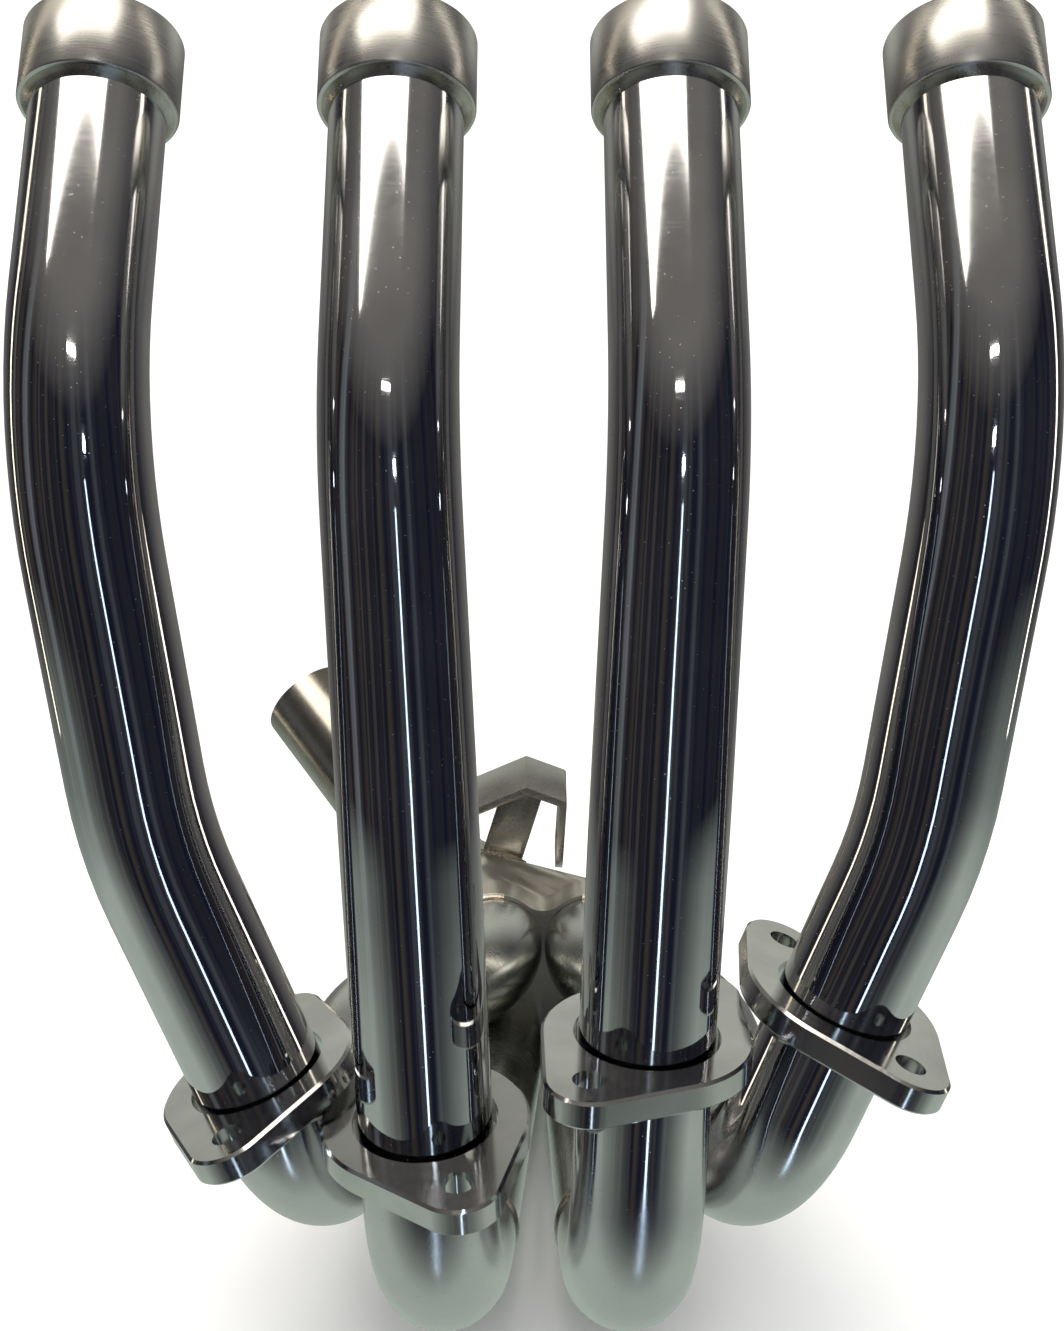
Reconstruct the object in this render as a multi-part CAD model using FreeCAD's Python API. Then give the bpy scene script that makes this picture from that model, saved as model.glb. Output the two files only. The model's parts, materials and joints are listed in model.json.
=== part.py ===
"""Four-into-one motorcycle exhaust manifold, built as separate welded and loose pieces.

Millimetres, +Z up, +Y towards the tail pipe, +X across the engine.  The origin is the
middle of the port row, in the plane of the four collar mouths.
"""
import FreeCAD
import Part
import math
import os

V = FreeCAD.Vector

# ---- tube stock
TUBE_OD = 38.1            # downpipe and return leg outside diameter
TUBE_WALL = 1.5
TAIL_OD = 45.0            # outlet pipe outside diameter
TAIL_WALL = 1.5

# ---- port row: half spacings of the inner and outer pair
PORT_X_INNER = 38.5
PORT_X_OUTER = 122.5

# ---- side profile of the downpipes, distances from the port plane
KNEE_BACK = -58.0         # upper bend
KNEE_DROP = -105.0
KNEE_OUT_INNER = 0.6      # knee stands this far outside its port
KNEE_OUT_OUTER = 1.0
SHIN_BACK_INNER = -75.0   # lower bend, inner pair
SHIN_DROP_INNER = -206.0
SHIN_IN_INNER = 4.7       # and the shin this far inside it
SHIN_BACK_OUTER = -58.5   # lower bend, outer pair
SHIN_DROP_OUTER = -219.0
SHIN_IN_OUTER = 14.5
FOOT_BACK_INNER = -70.5   # corner under the turn-back bend
FOOT_DROP_INNER = -360.5
FOOT_X_INNER = 28.0
FOOT_BACK_OUTER = -45.0
FOOT_DROP_OUTER = -349.0
FOOT_X_OUTER = 60.0
SWEEP_RADIUS = 150.0      # the two gentle bends
TURN_RADIUS = 45.0        # the tight turn-back bend

# ---- return legs and collector
LEG_GAP = 1.1             # air between neighbouring legs at the mouth
LEG_PITCH = TUBE_OD + LEG_GAP
MOUTH_X = 4.0
MOUTH_BACK = 135.0
MOUTH_DROP = -345.0
LEG_STUB = 10.0           # straight left on the downpipe after the turn-back bend
LEG_INSERT = 15.0         # leg length inside the collector sleeve
LEG_LEAD = 27.0           # straight of each leg in front of the mouth
LEG_RADIUS = 57.0
INNER_WAIST_BACK = 80.0   # where the inner legs come closest
INNER_WAIST_X = 3.0
WAIST_GAP = 2.9
INNER_WAIST_PITCH = TUBE_OD + WAIST_GAP
OUTER_ELBOW_BACK = 60.0   # where the outer legs turn inwards
OUTER_ELBOW_X = 62.0

SHELL_WALL = 1.5
SLEEVE_GAP = 0.1          # radial slip fit of the legs in the sleeve
SLEEVE_LENGTH = 17.0
VALLEY_DEPTH = 7.0        # how far the shell dips between two barrels
VALLEY_HALF_ANGLE = 10.0
PLATE_THICKNESS = 2.0     # infill plate round the legs
PLATE_SETBACK = 1.0
SPIKE_HALF = 9.0
SPIKE_LENGTH = 42.0
OUTLET_SIDE = -34.0       # small end of the collector cone, from the mouth centre
OUTLET_RUN = 68.0
OUTLET_CLIMB = 14.0
OUTLET_X = MOUTH_X + OUTLET_SIDE
OUTLET_BACK = MOUTH_BACK + OUTLET_RUN
OUTLET_DROP = MOUTH_DROP + OUTLET_CLIMB
OUTLET_YAW = 30.0         # degrees towards -X
OUTLET_RISE = 16.0        # degrees upwards
SOCKET_LENGTH = 12.0      # overlap of the shell on the tail pipe
SOCKET_GAP = 0.1

TAIL_SIDE = -77.4         # centre of the open tail end, from the outlet
TAIL_RUN = 86.0
TAIL_CLIMB = 70.0
TAIL_RADIUS = 68.0
TAIL_LEAD = 30.0          # outlet to the corner of the tail bend

# ---- head collars
COLLAR_WALL = 3.45
COLLAR_OD = TUBE_OD + 2 * COLLAR_WALL
COLLAR_LENGTH = 23.0
COLLAR_STOP = 5.0         # pipe end lies this deep under the mouth
COLLAR_GAP = 0.1
COLLAR_CHAMFER = 0.8
WELD_LEG = 2.2
WELD_RAISE = 0.9
WELD_HALF = 2.0

# ---- two-bolt port flanges
FLANGE_PCD = 62.0
FLANGE_HOLE = 9.0
FLANGE_THICKNESS = 8.0
FLANGE_PLAY = 1.45        # radial play round the tube
FLANGE_BORE = TUBE_OD + 2 * FLANGE_PLAY
FLANGE_WAIST = 59.0       # diameter of the round middle
FLANGE_LOBE = 12.0        # end radius round each bolt hole
FLANGE_CHAMFER = 0.8
# rest place above the foot corner, turn about the pipe, nod towards the front
FLANGE_LIFT = (56.5, 60.5, 86.0, 81.5)
FLANGE_TURN = (-97.0, -71.0, -123.0, -62.0)
FLANGE_NOD = (0.0, 7.0, 3.0, 0.0)

# ---- frame bracket on the collector
STRAP_THICKNESS = 3.0
STRAP_WIDTH = 24.0
STRAP_TILT = 20.0         # the strap leans down towards the front, in degrees
STRAP_AFT = 9.0           # rear edge, behind the outlet
STRAP_HOLE = 8.5
# folds of the strap: sideways from the outlet, and above the crown of the tail pipe
STRAP_FOOT = (-22.0, 2.5)
STRAP_HEEL = (-16.0, 20.5)
STRAP_RIDGE = (27.0, 39.0)
STRAP_BROW = (43.0, 33.0)
STRAP_TAB = (41.0, 0.5)
HOLE_HEIGHT = 13.5
TAB_CORNER = 6.0
BRACE_WIDTH = 17.5
BRACE_THICKNESS = 3.0
BRACE_FORE = 2.0          # middle of the brace, in front of the outlet
BRACE_TOP_SIDE = 31.0
BRACE_FOOT_SIDE = 17.0
PAD_GROW = 2.0            # weld pads stand out this far all round

PIPES = (1, 2, 3, 4)
SIDE = {1: -1, 2: -1, 3: 1, 4: 1}
OUTER = (1, 4)


# ---- paths
def unit(v):
    """Copy of a vector with length one."""
    out = V(v)
    out.normalize()
    return out


def heading(yaw, rise):
    """Direction pointing +Y, swung towards -X by yaw and upwards by rise, in degrees."""
    a, b = math.radians(yaw), math.radians(rise)
    return V(-math.sin(a) * math.cos(b), math.cos(a) * math.cos(b), math.sin(b))


def corner_setback(a, b, c, radius):
    """Tangent length of a round corner at b."""
    half = unit(b - a).getAngle(unit(c - b)) / 2
    return radius * math.tan(half)


def rounded_path(points, radii):
    """Wire of straight lines with a tangent arc at every inner point."""
    edges = []
    start = points[0]
    for before, corner, after, radius in zip(points, points[1:], points[2:], radii):
        back, ahead = unit(before - corner), unit(after - corner)
        setback = corner_setback(before, corner, after, radius)
        p, q = corner + back * setback, corner + ahead * setback
        bisector = unit(back + ahead)
        middle = corner + bisector * (math.hypot(radius, setback) - radius)
        edges.append(Part.makeLine(start, p))
        edges.append(Part.Arc(p, middle, q).toShape())
        start = q
    edges.append(Part.makeLine(start, points[-1]))
    return Part.Wire(edges)


def sweep(points, radii, radius):
    """Solid rod along a rounded path."""
    path = rounded_path(points, radii)
    circle = Part.Wire(Part.makeCircle(radius, points[0], points[1] - points[0]))
    return path.makePipeShell([circle], True, False)


def tube(points, radii, outside, wall):
    """Hollow tube along a rounded path, open at both ends."""
    first, last = unit(points[1] - points[0]), unit(points[-1] - points[-2])
    inner = [points[0] - first] + points[1:-1] + [points[-1] + last]
    return sweep(points, radii, outside / 2).cut(sweep(inner, radii, outside / 2 - wall))


def downpipe_points(n):
    """Port, upper bend, lower bend and foot corner of one downpipe."""
    s = SIDE[n]
    if n in OUTER:
        return [V(s * PORT_X_OUTER, 0, 0),
                V(s * (PORT_X_OUTER + KNEE_OUT_OUTER), KNEE_BACK, KNEE_DROP),
                V(s * (PORT_X_OUTER - SHIN_IN_OUTER), SHIN_BACK_OUTER, SHIN_DROP_OUTER),
                V(s * FOOT_X_OUTER, FOOT_BACK_OUTER, FOOT_DROP_OUTER)]
    return [V(s * PORT_X_INNER, 0, 0),
            V(s * (PORT_X_INNER + KNEE_OUT_INNER), KNEE_BACK, KNEE_DROP),
            V(s * (PORT_X_INNER - SHIN_IN_INNER), SHIN_BACK_INNER, SHIN_DROP_INNER),
            V(s * FOOT_X_INNER, FOOT_BACK_INNER, FOOT_DROP_INNER)]


def leg_end(n):
    """Centre of a return leg where it stops inside the collector."""
    up = 1 if n in OUTER else -1
    return V(MOUTH_X + SIDE[n] * LEG_PITCH / 2, MOUTH_BACK + LEG_INSERT,
             MOUTH_DROP + up * LEG_PITCH / 2)


def leg_points(n):
    """Waist or elbow, lead-in corner and end of one return leg."""
    end = leg_end(n)
    lead = V(end.x, MOUTH_BACK - LEG_LEAD, end.z)
    if n in OUTER:
        turn = V(SIDE[n] * OUTER_ELBOW_X, OUTER_ELBOW_BACK, end.z)
    else:
        turn = V(INNER_WAIST_X + SIDE[n] * INNER_WAIST_PITCH / 2, INNER_WAIST_BACK, end.z)
    return [turn, lead, end]


def seam(n):
    """Point and direction of the butt joint between downpipe and return leg."""
    shin, foot = downpipe_points(n)[2:]
    turn = leg_points(n)[0]
    run = unit(turn - foot)
    return foot + run * (corner_setback(shin, foot, turn, TURN_RADIUS) + LEG_STUB), run


def collar_axis(n):
    """Direction out of the collar mouth, towards the cylinder head."""
    port, knee = downpipe_points(n)[:2]
    return unit(port - knee)


# ---- pieces on the pipes
def spin(profile, place, axis):
    """Revolve (radius, height) points about an axis through a place."""
    wire = Part.makePolygon([V(r, 0, h) for r, h in profile + profile[:1]])
    solid = Part.Face(wire).revolve(V(0, 0, 0), V(0, 0, 1), 360)
    solid.Placement = FreeCAD.Placement(place, FreeCAD.Rotation(V(0, 0, 1), axis))
    return solid


def downpipe(n):
    points = downpipe_points(n)
    points[0] = points[0] - collar_axis(n) * COLLAR_STOP
    points.append(seam(n)[0])
    return tube(points, [SWEEP_RADIUS, SWEEP_RADIUS, TURN_RADIUS], TUBE_OD, TUBE_WALL)


def return_leg(n):
    points = [seam(n)[0]] + leg_points(n)
    return tube(points, [LEG_RADIUS, LEG_RADIUS], TUBE_OD, TUBE_WALL)


def head_collar(n):
    r, bore = COLLAR_OD / 2, TUBE_OD / 2 - TUBE_WALL
    socket = TUBE_OD / 2 + COLLAR_GAP
    c, low = COLLAR_CHAMFER, -COLLAR_LENGTH
    profile = [(bore, -c), (bore + c, 0), (r - c, 0), (r, -c), (r, low + c), (r - c, low),
               (socket, low), (socket, -COLLAR_STOP), (bore, -COLLAR_STOP)]
    return spin(profile, downpipe_points(n)[0], collar_axis(n))


def collar_weld(n):
    r, low = TUBE_OD / 2, -COLLAR_LENGTH
    profile = [(r, low), (r + WELD_LEG, low), (r + WELD_LEG * 0.6, low - WELD_LEG * 0.6),
               (r, low - WELD_LEG)]
    return spin(profile, downpipe_points(n)[0], collar_axis(n))


def leg_weld(n):
    place, run = seam(n)
    r = TUBE_OD / 2
    profile = [(r, -WELD_HALF), (r + WELD_RAISE * 0.8, -WELD_HALF / 2), (r + WELD_RAISE, 0),
               (r + WELD_RAISE * 0.8, WELD_HALF / 2), (r, WELD_HALF)]
    return spin(profile, place, run)


# ---- port flanges
def flange_outline():
    """Round middle joined to two bolt lobes by straight tangents."""
    middle, lobe, half = FLANGE_WAIST / 2, FLANGE_LOBE, FLANGE_PCD / 2
    lean = math.acos((middle - lobe) / half)
    a = V(middle * math.cos(lean), middle * math.sin(lean), 0)
    b = V(half + lobe * math.cos(lean), lobe * math.sin(lean), 0)
    quarter = [(a, b), (V(b.x, -b.y, 0), V(a.x, -a.y, 0)),
               (V(-a.x, -a.y, 0), V(-b.x, -b.y, 0)), (V(-b.x, b.y, 0), V(-a.x, a.y, 0))]
    tops = [V(half + lobe, 0, 0), V(0, -middle, 0), V(-half - lobe, 0, 0), V(0, middle, 0)]
    edges = []
    for i in range(4):
        edges.append(Part.makeLine(*quarter[i]))
        edges.append(Part.Arc(quarter[i][1], tops[i], quarter[(i + 1) % 4][0]).toShape())
    return Part.Wire(edges)


def rim_edges(solid, height):
    """Edges lying flat at one height."""
    return [e for e in solid.Edges
            if abs(e.BoundBox.ZMin - height) < 1e-6 and abs(e.BoundBox.ZMax - height) < 1e-6]


def port_flange(n):
    half = FLANGE_THICKNESS / 2
    plate = Part.Face(flange_outline()).extrude(V(0, 0, FLANGE_THICKNESS))
    plate.translate(V(0, 0, -half))
    plate = plate.makeChamfer(FLANGE_CHAMFER, rim_edges(plate, half) + rim_edges(plate, -half))
    tools = [Part.makeCylinder(FLANGE_BORE / 2, FLANGE_THICKNESS + 2, V(0, 0, -half - 1))]
    for side in (-1, 1):
        place = V(side * FLANGE_PCD / 2, 0, -half - 1)
        tools.append(Part.makeCylinder(FLANGE_HOLE / 2, FLANGE_THICKNESS + 2, place))
    plate = plate.cut(Part.makeCompound(tools)).Solids[0]
    plate.Placement = flange_placement(n)
    return plate


def flange_placement(n):
    """Rest place of a loose flange on the lower straight of its pipe."""
    shin, foot = downpipe_points(n)[2:]
    up = unit(shin - foot)
    across = unit(V(1, 0, 0) - up * up.x)
    stand = FreeCAD.Rotation(across, up.cross(across), up, "ZXY")
    nod = FreeCAD.Rotation(V(1, 0, 0), FLANGE_NOD[n - 1])
    turned = FreeCAD.Rotation(V(0, 0, 1), FLANGE_TURN[n - 1])
    place = foot + up * FLANGE_LIFT[n - 1]
    return FreeCAD.Placement(place, stand.multiply(nod).multiply(turned))


# ---- collector
def lobed_section(grow, place, rotation):
    """Four barrels joined by shallow valleys, as eight arcs round the collector axis."""
    c, r = LEG_PITCH / 2, TUBE_OD / 2 + SLEEVE_GAP + grow
    dip = c + r - VALLEY_DEPTH
    rise = dip - c
    valley = (c * c + rise * rise - r * r) / (2 * (r - rise))
    reach = unit(V(-c, dip + valley - c, 0)) * r
    touch = V(c, c, 0) + reach
    edges = []
    for k in range(4):
        turn = FreeCAD.Rotation(V(0, 0, 1), -90 * k)
        peak = c + r * math.sqrt(0.5)
        start, crest = turn.multVec(touch), turn.multVec(V(peak, peak, 0))
        end = turn.multVec(V(touch.y, touch.x, 0))
        floor, nxt = turn.multVec(V(dip, 0, 0)), turn.multVec(V(touch.y, -touch.x, 0))
        edges.append(Part.Arc(start, crest, end).toShape())
        edges.append(Part.Arc(end, floor, nxt).toShape())
    wire = Part.Wire(edges)
    wire.Placement = FreeCAD.Placement(place, rotation)
    return wire


def round_section(radius, place, rotation):
    """Circle split like the lobed section, so that the two can be skinned together."""
    edges = []
    for k in range(4):
        base = 90 - 90 * k
        spots = [base - VALLEY_HALF_ANGLE, base - 45, base - 90 + VALLEY_HALF_ANGLE,
                 base - 90, base - 90 - VALLEY_HALF_ANGLE]
        ring = [V(radius * math.cos(math.radians(a)), radius * math.sin(math.radians(a)), 0)
                for a in spots]
        edges.append(Part.Arc(ring[0], ring[1], ring[2]).toShape())
        edges.append(Part.Arc(ring[2], ring[3], ring[4]).toShape())
    wire = Part.Wire(edges)
    wire.Placement = FreeCAD.Placement(place, rotation)
    return wire


def facing(direction):
    """Rotation taking the section plane square to a direction, its x to the right."""
    right = unit(direction.cross(V(0, 0, 1)))
    return FreeCAD.Rotation(right, right.cross(direction) * -1, direction * -1, "ZXY")


def collector_core(grow, slack):
    """Solid collector form; slack lengthens both ends so that it can be used as a cutter."""
    back, out = V(0, 1, 0), heading(OUTLET_YAW, OUTLET_RISE)
    mouth = V(MOUTH_X, MOUTH_BACK, MOUTH_DROP)
    neck = mouth + back * SLEEVE_LENGTH
    end = V(OUTLET_X, OUTLET_BACK, OUTLET_DROP)
    radius = TAIL_OD / 2 + SOCKET_GAP + grow
    square = facing(back)
    sleeve = Part.Face(lobed_section(grow, mouth - back * slack, square))
    sleeve = sleeve.extrude(back * (SLEEVE_LENGTH + slack))
    cone = Part.makeLoft([lobed_section(grow, neck, square),
                          round_section(radius, end, facing(out))], True, True)
    socket = Part.makeCylinder(radius, SOCKET_LENGTH + slack, end, out)
    return sleeve.fuse([cone, socket])


def collector_shell():
    return collector_core(SHELL_WALL, 0).cut(collector_core(0, 1)).removeSplitter()


def infill_plate():
    """Plate that closes the mouth between and round the four legs."""
    place = V(MOUTH_X, MOUTH_BACK + PLATE_SETBACK, MOUTH_DROP)
    plate = Part.Face(lobed_section(0, place, facing(V(0, 1, 0))))
    plate = plate.extrude(V(0, PLATE_THICKNESS, 0))
    holes = []
    for n in PIPES:
        end = leg_end(n)
        start = V(end.x, MOUTH_BACK, end.z)
        holes.append(Part.makeCylinder(TUBE_OD / 2 + SLEEVE_GAP / 2, 10, start, V(0, 1, 0)))
    return plate.cut(Part.makeCompound(holes))


def merge_spike():
    """Four-sided flow spike standing on the leg ends."""
    base = MOUTH_BACK + LEG_INSERT
    ring = []
    for sx, sz in ((-1, -1), (1, -1), (1, 1), (-1, 1)):
        ring.append(V(MOUTH_X + sx * SPIKE_HALF, base, MOUTH_DROP + sz * SPIKE_HALF))
    tip = V(MOUTH_X, base, MOUTH_DROP) + heading(OUTLET_YAW / 2, OUTLET_RISE / 2) * SPIKE_LENGTH
    faces = [Part.Face(Part.makePolygon(ring + ring[:1]))]
    for i in range(4):
        a, b = ring[i], ring[(i + 1) % 4]
        faces.append(Part.Face(Part.makePolygon([a, b, tip, a])))
    return Part.makeSolid(Part.makeShell(faces))


def mouth_weld(n):
    """Bead along the rim of the collector mouth round one leg."""
    end = leg_end(n)
    place = V(end.x, MOUTH_BACK, end.z)
    r = TUBE_OD / 2
    side = V(SIDE[n], 0, 1 if n in OUTER else -1)
    profile = [(r, 0), (r + WELD_LEG, 0), (r + WELD_LEG * 0.5, WELD_LEG * 0.7), (r, WELD_LEG)]
    ring = spin(profile, place, V(0, -1, 0))
    keep = Part.makeBox(60, 20, 60, V(-30, -10, -30))
    keep.translate(place + V(side.x * 30, 0, 0) + V(side.x * -4, 0, 0))
    keep_up = Part.makeBox(60, 20, 60, V(-30, -10, -30))
    keep_up.translate(place + V(0, 0, side.z * 30) + V(0, 0, side.z * -4))
    return ring.common(keep).common(keep_up)


# ---- tail pipe
def tail_points():
    """Start in the socket, bend corner and open end of the tail pipe."""
    start = V(OUTLET_X, OUTLET_BACK, OUTLET_DROP)
    corner = start + heading(OUTLET_YAW, OUTLET_RISE) * TAIL_LEAD
    return [start, corner, start + V(TAIL_SIDE, TAIL_RUN, TAIL_CLIMB)]


def tail_pipe():
    return tube(tail_points(), [TAIL_RADIUS], TAIL_OD, TAIL_WALL)


def outlet_weld():
    out = heading(OUTLET_YAW, OUTLET_RISE)
    place = V(OUTLET_X, OUTLET_BACK, OUTLET_DROP) + out * SOCKET_LENGTH
    r, leg = TAIL_OD / 2, SHELL_WALL + SOCKET_GAP
    return spin([(r, 0), (r + leg, 0), (r + leg * 0.5, leg * 0.8), (r, leg)], place, out)


# ---- bracket
def above_outlet(side, height):
    """Point on the rear edge of the strap, from the outlet and the crown of the tail pipe."""
    return V(OUTLET_X + side, OUTLET_BACK + STRAP_AFT, OUTLET_DROP + TAIL_OD / 2 + height)


def strap_line():
    """Folds of the strap along its rear edge."""
    return [above_outlet(*fold)
            for fold in (STRAP_FOOT, STRAP_HEEL, STRAP_RIDGE, STRAP_BROW, STRAP_TAB)]


def strap_width():
    """Vector from the rear edge of the strap to its front edge."""
    lean = math.radians(STRAP_TILT)
    return V(0, -math.cos(lean), -math.sin(lean)) * STRAP_WIDTH


def bar(p, q, thickness, depth):
    """Flat bar whose middle line runs from p to q, carried along depth."""
    side = unit((q - p).cross(V(0, 1, 0))) * (thickness / 2)
    ring = [p + side, q + side, q - side, p - side, p + side]
    return Part.Face(Part.makePolygon(ring)).extrude(depth)


def round_tab(solid):
    """Round the two free corners of the tab."""
    low = min(v.Point.z for v in solid.Vertexes if v.Point.x > 0)
    front = strap_width()
    corners = []
    for e in solid.Edges:
        spots = [v.Point for v in e.Vertexes]
        if len(spots) == 2 and abs(e.Length - STRAP_THICKNESS) < 1e-3:
            if min(p.z for p in spots) < low + abs(front.z) + 1 and min(p.x for p in spots) > 0:
                corners.append(e)
    return solid.makeFillet(TAB_CORNER, corners)


def tab_hole():
    """Centre of the bolt hole in the tab, and the direction square to the tab."""
    p, q = above_outlet(*STRAP_BROW), above_outlet(*STRAP_TAB)
    middle = p + (q - p) * ((HOLE_HEIGHT - STRAP_BROW[1]) / (STRAP_TAB[1] - STRAP_BROW[1]))
    return middle + strap_width() / 2, unit((q - p).cross(strap_width())) * -1


def bracket_strap():
    spots = strap_line()
    width = strap_width()
    bars = [bar(p, q, STRAP_THICKNESS, width) for p, q in zip(spots, spots[1:])]
    folds = []
    for p in spots[1:-1]:
        circle = Part.makeCircle(STRAP_THICKNESS / 2, p, V(0, 1, 0))
        folds.append(Part.Face(Part.Wire(circle)).extrude(width))
    strap = round_tab(bars[0].fuse(bars[1:] + folds).removeSplitter())
    place, out = tab_hole()
    hole = Part.makeCylinder(STRAP_HOLE / 2, 20, place - out * 10, out)
    return strap.cut([hole, tail_rod(0), collector_core(SHELL_WALL, 0)])


def tail_rod(grow):
    """The outside form of the tail pipe, grown a little."""
    return sweep(tail_points(), [TAIL_RADIUS], TAIL_OD / 2 + grow)


def brace_bar(grow):
    """The whole brace before its ends are trimmed, grown all round."""
    width, thick = BRACE_WIDTH + 2 * grow, BRACE_THICKNESS + 2 * grow
    back = V(0, thick / 2 - BRACE_FORE - STRAP_AFT, 0)
    p = above_outlet(BRACE_FOOT_SIDE, 0) + back
    q = above_outlet(BRACE_TOP_SIDE, STRAP_RIDGE[1] + 6) + back
    reach = unit(q - p) * 10
    return bar(p - reach, q + reach, width, V(0, -thick, 0))


def over_strap():
    """Everything above the middle of the strap."""
    folds = strap_line()
    foot, tab = folds[0], folds[-1]
    sky = above_outlet(0, 300).z
    ring = folds + [tab + V(40, 0, 0), V(tab.x + 40, tab.y, sky), V(foot.x - 20, foot.y, sky),
                    foot - V(20, 0, 0), foot]
    face = Part.Face(Part.makePolygon(ring))
    face.translate(strap_width() * (-20 / STRAP_WIDTH))
    return face.extrude(strap_width() * 3)


def bracket_brace():
    brace = brace_bar(0).cut([over_strap(), bracket_strap(), tail_rod(0),
                              collector_core(SHELL_WALL, 0)])
    return max(brace.Solids, key=lambda s: s.Volume)


def brace_weld():
    """Bead round the foot of the brace on the collector."""
    skin = collector_core(SHELL_WALL + PAD_GROW, 0).fuse(tail_rod(PAD_GROW))
    pad = brace_bar(PAD_GROW).common(skin)
    pad = pad.cut([collector_core(SHELL_WALL, 0), tail_rod(0), outlet_weld(), bracket_brace()])
    return max(pad.Solids, key=lambda s: s.Volume)


def strap_weld():
    """Bead round the foot of the strap on the tail pipe."""
    p, q = strap_line()[:2]
    width = strap_width()
    grown = width * (1 + 2 * PAD_GROW / STRAP_WIDTH)
    block = bar(p, q, STRAP_THICKNESS + 2 * PAD_GROW, grown)
    block.translate(width * (-PAD_GROW / STRAP_WIDTH))
    skin = collector_core(SHELL_WALL + PAD_GROW, 0).fuse(tail_rod(PAD_GROW))
    pad = block.common(skin)
    return pad.cut([collector_core(SHELL_WALL, 0), tail_rod(0), outlet_weld(), bracket_strap()])


SUBPARTS = {"collector_shell": collector_shell, "infill_plate": infill_plate,
            "merge_spike": merge_spike, "tail_pipe": tail_pipe, "outlet_weld": outlet_weld,
            "bracket_strap": bracket_strap, "bracket_brace": bracket_brace,
            "brace_weld": brace_weld, "strap_weld": strap_weld}
PER_PIPE = {"head_collar": head_collar, "collar_weld": collar_weld, "downpipe": downpipe,
            "leg_weld": leg_weld, "return_leg": return_leg, "mouth_weld": mouth_weld,
            "port_flange": port_flange}


def main():
    os.makedirs("parts", exist_ok=True)
    for name, make in PER_PIPE.items():
        for n in PIPES:
            make(n).exportStep("parts/%s_%d.step" % (name, n))
    for name, make in SUBPARTS.items():
        make().exportStep("parts/%s.step" % name)


main()
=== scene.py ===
"""Looks of a four-into-one motorcycle exhaust manifold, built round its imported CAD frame.

Lengths in the dataclass fields are millimetres in the frame's own axes, and MM turns them
to metres; only the studio is given in metres.  Tubes, collars and weld beads are modelled
here, plates and pressed sheet are merged copies of the CAD nodes, and every surface has a
procedural metal finish.
"""

import json
import logging
import math
from dataclasses import dataclass, field
from enum import Enum

import bpy
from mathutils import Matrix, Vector

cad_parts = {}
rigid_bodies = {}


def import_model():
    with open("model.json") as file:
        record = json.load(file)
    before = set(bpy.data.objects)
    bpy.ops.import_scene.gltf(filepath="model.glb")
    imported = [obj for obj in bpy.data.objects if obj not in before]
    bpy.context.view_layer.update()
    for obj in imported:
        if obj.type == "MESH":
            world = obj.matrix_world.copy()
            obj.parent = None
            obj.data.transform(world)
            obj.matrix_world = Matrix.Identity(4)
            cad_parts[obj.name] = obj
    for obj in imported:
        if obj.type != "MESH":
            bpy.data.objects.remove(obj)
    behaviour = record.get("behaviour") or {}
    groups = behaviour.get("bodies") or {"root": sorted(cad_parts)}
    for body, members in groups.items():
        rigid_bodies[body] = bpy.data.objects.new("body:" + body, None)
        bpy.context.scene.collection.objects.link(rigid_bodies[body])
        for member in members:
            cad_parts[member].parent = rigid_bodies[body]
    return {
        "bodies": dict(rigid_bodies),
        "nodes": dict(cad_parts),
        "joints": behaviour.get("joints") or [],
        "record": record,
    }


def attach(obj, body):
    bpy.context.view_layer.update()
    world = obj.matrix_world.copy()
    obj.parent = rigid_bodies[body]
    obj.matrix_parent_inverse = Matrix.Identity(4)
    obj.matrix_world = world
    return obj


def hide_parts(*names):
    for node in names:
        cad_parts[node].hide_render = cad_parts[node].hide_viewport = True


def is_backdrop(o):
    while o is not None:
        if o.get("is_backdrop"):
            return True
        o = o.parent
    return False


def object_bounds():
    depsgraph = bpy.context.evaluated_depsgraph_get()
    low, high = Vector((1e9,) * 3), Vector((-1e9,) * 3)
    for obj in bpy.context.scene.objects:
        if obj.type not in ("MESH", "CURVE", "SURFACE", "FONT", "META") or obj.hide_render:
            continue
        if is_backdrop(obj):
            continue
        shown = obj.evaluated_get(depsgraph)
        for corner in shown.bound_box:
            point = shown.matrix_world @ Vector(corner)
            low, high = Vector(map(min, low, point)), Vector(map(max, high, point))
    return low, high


LOG = logging.getLogger("manifold")
RING_SIDES = 96          # facets round a tube
MIN_BEND_STEPS = 4       # fewest steps round a bend
MM = 0.001               # one millimetre in metres
SMOOTH_DEG = 30.0        # edges flatter than this are shaded smooth

# Sizes that several pieces share, in millimetres
TUBE_OUTSIDE = 38.1
TUBE_WALL = 1.5
SWEEP_RADIUS = 150.0     # the two gentle bends of a downpipe
TURN_RADIUS = 45.0       # its tight turn-back bend
STUB = 10.0              # straight left on the downpipe behind the tight bend
LEG_RADIUS = 57.0        # both bends of a return leg
MOUTH_X = 4.0            # middle of the collector mouth
HALF_PITCH = 19.6        # from there to either column of legs
OUTER_ROW = -325.4       # height of the outer legs at the mouth
INNER_ROW = -364.6       # height of the inner legs there
LEAD_BACK = 108.0        # corner of their last bend, before they run straight in
END_BACK = 150.0         # where they end inside it

# How a copied CAD mesh is cleaned
MERGE_GAP = 0.005        # points nearer than this, in millimetres, become one
FLAT_DEG = 0.2           # faces this close to level with each other become one
PAIR_DEG = 6.0           # triangles this close to level become a quad
PAIR_SHAPE_DEG = 60.0    # how far such a quad may be from a rectangle
SEAM_GAP = 0.001         # the same for the seam of a spun or extruded piece

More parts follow.
